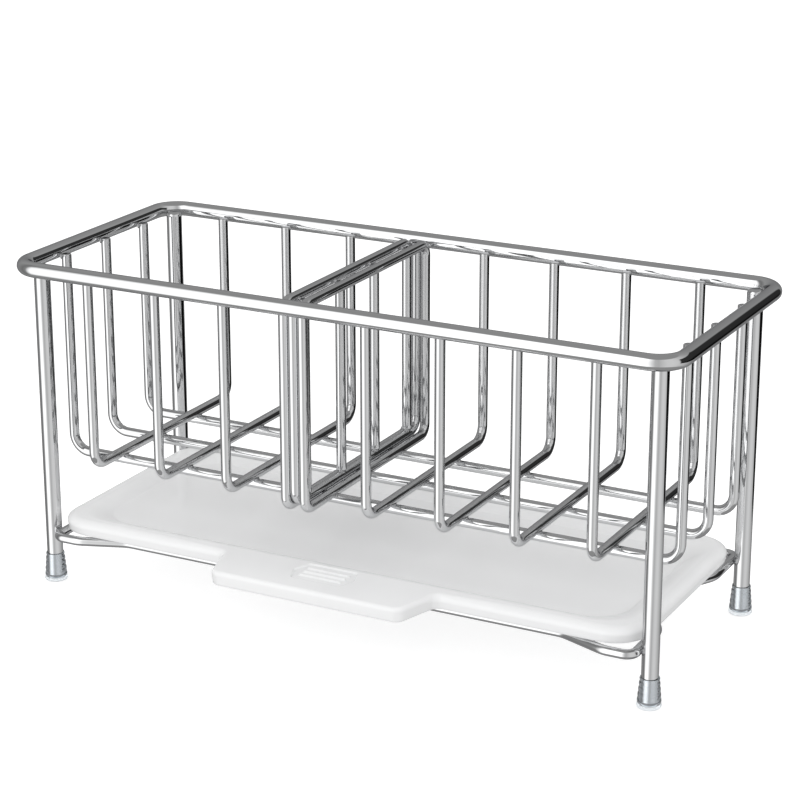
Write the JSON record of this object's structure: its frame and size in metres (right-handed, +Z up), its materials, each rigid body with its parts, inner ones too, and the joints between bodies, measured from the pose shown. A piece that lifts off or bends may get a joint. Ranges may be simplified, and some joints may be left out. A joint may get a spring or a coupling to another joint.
{
  "type": "sink organizer rack",
  "caption": "Wire rack for washing-up brushes and sponges, with a divided open basket on four rubber-footed legs over a pull-out drip tray.",
  "frame": {"origin": "on the ground under the middle of the whole object, its tray pushed home and the tab included", "axes": "+X along the rack, to the right as seen from the front; the tray's tab points to -Y, the front; +Z up"},
  "size_m": [0.25, 0.1166, 0.1205],
  "materials": {
    "frame_chrome": "polished",
    "basket_chrome": "polished",
    "foot_rubber": "clear, satin",
    "tray_plastic": "glossy"
  },
  "bodies": {
    "rack": {"top_rim": "frame_chrome", "leg_front_left": "frame_chrome", "leg_front_right": "frame_chrome", "leg_rear_left": "frame_chrome", "leg_rear_right": "frame_chrome", "foot_front_left": "foot_rubber", "foot_front_right": "foot_rubber", "foot_rear_left": "foot_rubber", "foot_rear_right": "foot_rubber", "cross_wire_1": "basket_chrome", "cross_wire_2": "basket_chrome", "cross_wire_3": "basket_chrome", "cross_wire_4": "basket_chrome", "cross_wire_5": "basket_chrome", "cross_wire_6": "basket_chrome", "cross_wire_7": "basket_chrome", "cross_wire_8": "basket_chrome", "long_wire_1": "basket_chrome", "long_wire_2": "basket_chrome", "long_wire_3": "basket_chrome", "divider_loop_left": "basket_chrome", "divider_loop_right": "basket_chrome", "divider_bar_1": "basket_chrome", "divider_bar_2": "basket_chrome", "divider_bar_3": "basket_chrome", "divider_bar_4": "basket_chrome", "tray_support": "basket_chrome"},
    "tray": {"drip_tray": "tray_plastic"}
  },
  "joints": [
    {"name": "tray_slide", "type": "slide", "parent": "rack", "child": "tray", "axis": [0, -1, 0], "range_m": [0, 0.095]}
  ]
}
